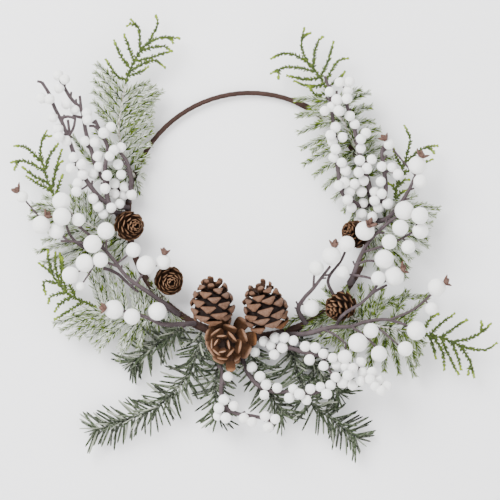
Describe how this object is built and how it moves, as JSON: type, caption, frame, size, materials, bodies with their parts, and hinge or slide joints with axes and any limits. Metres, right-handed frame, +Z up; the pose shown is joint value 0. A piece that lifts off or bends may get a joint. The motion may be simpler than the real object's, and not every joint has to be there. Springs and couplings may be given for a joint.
{
  "type": "hoop wreath",
  "caption": "Wire hoop wreath with pine cones, frosted and green cedar fronds, long-needled fir and sprays of white sugared berries round its sides and foot.",
  "frame": {"origin": "the hanging point, at the middle of the inner side of the hoop's top", "axes": "+X to the right along the wreath's longest side, the front faces -Y, +Z up the wall"},
  "size_m": [0.4859, 0.0692, 0.4402],
  "materials": {
    "floral_tape": "brown crinkled tape over wire",
    "cone_scales": "dry matt scales, dark inside",
    "frosted_needles": "white frost over dull green",
    "cedar_green": "satin green with yellow tips",
    "fir_needles": "dark green with pale dust",
    "sugared_berries": "white foam grains, brown stems"
  },
  "bodies": {
    "root": {"cedar_tip_1": "cedar_green", "cedar_tip_2": "cedar_green", "cedar_tip_3": "cedar_green", "cedar_tip_4": "cedar_green", "cedar_tip_5": "cedar_green", "cedar_tip_6": "cedar_green", "cone_front": "cone_scales", "cone_left": "cone_scales", "cone_right": "cone_scales", "fir_spray_1": "fir_needles", "fir_spray_2": "fir_needles", "fir_spray_3": "fir_needles", "fir_spray_4": "fir_needles", "fir_spray_5": "fir_needles", "fir_spray_6": "fir_needles", "frosted_frond_1": "frosted_needles", "frosted_frond_2": "frosted_needles", "frosted_frond_3": "frosted_needles", "frosted_frond_4": "frosted_needles", "frosted_frond_5": "frosted_needles", "frosted_frond_6": "frosted_needles", "hoop": "floral_tape", "large_berries_foot_left": "sugared_berries", "large_berries_left": "sugared_berries", "large_berries_right": "sugared_berries", "large_berries_right_foot": "sugared_berries", "large_berries_right_inner": "sugared_berries", "large_berries_right_upper": "sugared_berries", "small_berries_foot_1": "sugared_berries", "small_berries_foot_2": "sugared_berries", "small_berries_foot_3": "sugared_berries", "small_berries_left_1": "sugared_berries", "small_berries_left_2": "sugared_berries", "small_berries_left_3": "sugared_berries", "small_berries_left_4": "sugared_berries", "small_berries_right_1": "sugared_berries", "small_berries_right_2": "sugared_berries", "small_berries_right_3": "sugared_berries", "small_cone_left_lower": "cone_scales", "small_cone_left_upper": "cone_scales", "small_cone_right_lower": "cone_scales", "small_cone_right_upper": "cone_scales", "tape_binding": "floral_tape"}
  },
  "joints": []
}
